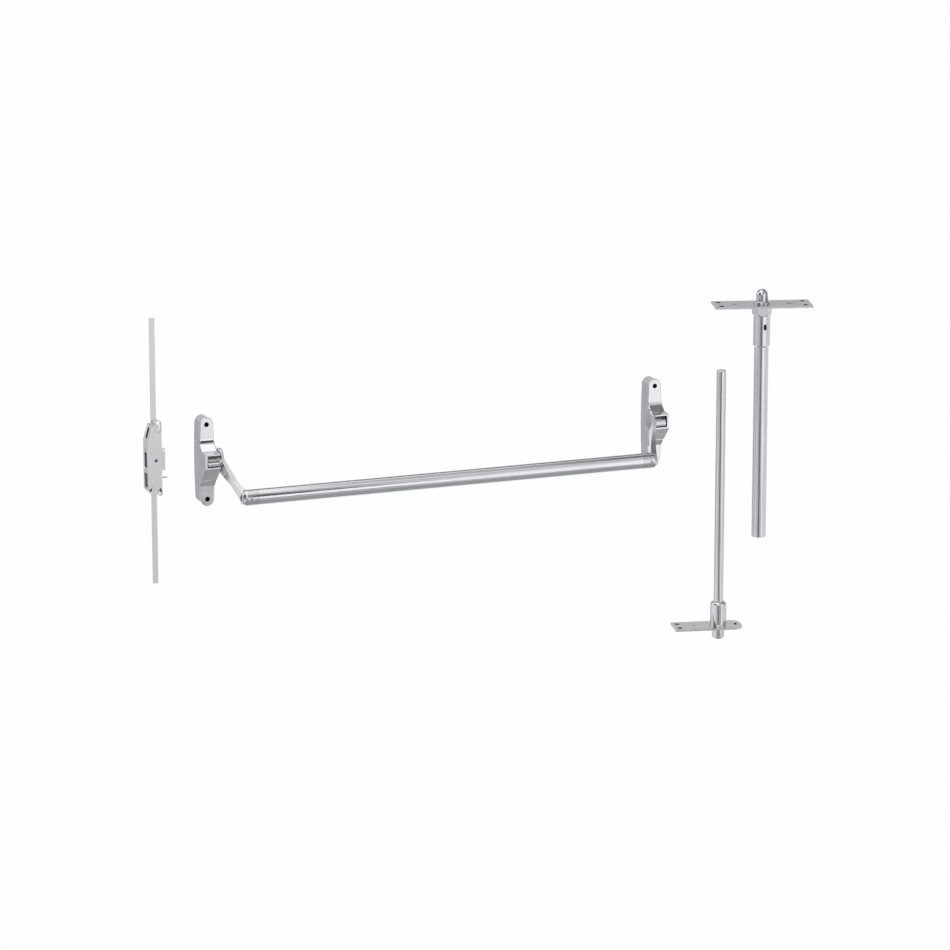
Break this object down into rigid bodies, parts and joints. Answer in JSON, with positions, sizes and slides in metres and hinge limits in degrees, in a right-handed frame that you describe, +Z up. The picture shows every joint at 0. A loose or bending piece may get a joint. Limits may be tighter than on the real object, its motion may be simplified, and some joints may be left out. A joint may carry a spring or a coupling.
{
  "type": "vertical rod exit device",
  "caption": "Push-bar exit device kit: end cases with lever arms and crossbar, concealed lock case with rods, and spring bolt sets for a door's top and bottom edges.",
  "frame": {"origin": "door face, midway between the two screw holes of the left end case", "axes": "+X along the crossbar towards the driving end case, -Y into the room, +Y into the door, +Z up"},
  "size_m": [1.2148, 0.1735, 0.6525],
  "materials": {
    "polished_casting": "polished",
    "polished_tube": "polished",
    "plated_plate": "satin",
    "satin_sheet": "satin",
    "turned_steel": "polished",
    "zinc_steel": "satin",
    "bronze": "satin",
    "spring_steel": "satin"
  },
  "bodies": {
    "frame": {"left_end_case": "polished_casting", "right_end_case": "polished_casting", "left_back_plate": "zinc_steel", "right_back_plate": "zinc_steel", "left_pivot_pin": "turned_steel", "right_pivot_pin": "turned_steel", "hub_return_spring": "spring_steel", "plunger_spring": "spring_steel", "lock_case": "satin_sheet", "lock_cover": "satin_sheet", "case_posts": "zinc_steel", "cover_screws": "zinc_steel", "side_bracket": "satin_sheet", "thumb_pin": "zinc_steel", "lock_spring": "spring_steel", "top_guide_plate": "plated_plate", "top_bushing": "turned_steel", "top_locknut": "polished_casting", "top_sleeve": "polished_tube", "top_spring": "spring_steel", "bottom_guide_plate": "plated_plate", "bottom_sleeve": "polished_tube", "bottom_spring": "spring_steel"},
    "crossbar": {"left_lever_arm": "polished_casting", "right_lever_arm": "polished_casting", "crossbar_tube": "polished_tube", "bar_end_plugs": "turned_steel", "bar_grub_screws": "zinc_steel", "left_pivot_bush": "bronze", "right_pivot_bush": "bronze"},
    "plunger": {"drive_plunger": "turned_steel"},
    "hub": {"lock_hub": "zinc_steel"},
    "upper_lock_rod": {"upper_slide": "zinc_steel", "upper_rod": "satin_sheet", "upper_rod_rivets": "zinc_steel"},
    "lower_lock_rod": {"lower_slide": "zinc_steel", "lower_rod": "satin_sheet", "lower_rod_rivets": "zinc_steel"},
    "top_bolt_set": {"top_bolt": "turned_steel", "top_rod_tube": "polished_tube", "top_tube_plug": "turned_steel", "top_cross_pin": "zinc_steel"},
    "bottom_bolt_set": {"bottom_bolt": "turned_steel", "bottom_rod": "polished_tube", "bottom_stop_pin": "zinc_steel"}
  },
  "joints": [
    {"name": "crossbar_press", "type": "hinge", "parent": "frame", "child": "crossbar", "pos_m": [0, -0.048, 0.0025], "axis": [1, 0, 0], "range_deg": [0, 25], "stiffness_Nm_per_rad": 2.5, "springref_deg": -45.84, "deforming": ["hub_return_spring"]},
    {"name": "plunger_push", "type": "slide", "parent": "frame", "child": "plunger", "axis": [0, 1, 0], "range_m": [0, 0.0052], "deforming": ["plunger_spring"]},
    {"name": "lock_hub_turn", "type": "hinge", "parent": "frame", "child": "hub", "pos_m": [-0.0835, 0, 0.006], "axis": [0, 1, 0], "range_deg": [0, 96], "deforming": ["lock_spring"]},
    {"name": "upper_lock_rod_draw", "type": "slide", "parent": "frame", "child": "upper_lock_rod", "axis": [0, 0, -1], "range_m": [0, 0.0089], "stiffness_N_per_m": 1200, "springref_m": -0.006},
    {"name": "lower_lock_rod_draw", "type": "slide", "parent": "frame", "child": "lower_lock_rod", "axis": [0, 0, 1], "range_m": [0, 0.0089]},
    {"name": "top_bolt_draw", "type": "slide", "parent": "frame", "child": "top_bolt_set", "axis": [0, 0, -1], "range_m": [0, 0.013], "stiffness_N_per_m": 900, "springref_m": -0.02, "deforming": ["top_spring"]},
    {"name": "bottom_bolt_draw", "type": "slide", "parent": "frame", "child": "bottom_bolt_set", "axis": [0, 0, 1], "range_m": [0, 0.011], "stiffness_N_per_m": 700, "springref_m": -0.02, "deforming": ["bottom_spring"]}
  ],
  "couplings": [
    {"joint": "plunger_push", "follows": "crossbar_press", "m_per_rad": 0.0115},
    {"joint": "lock_hub_turn", "follows": "upper_lock_rod_draw", "rad_per_m": 187.89},
    {"joint": "lower_lock_rod_draw", "follows": "upper_lock_rod_draw", "ratio": 1}
  ]
}
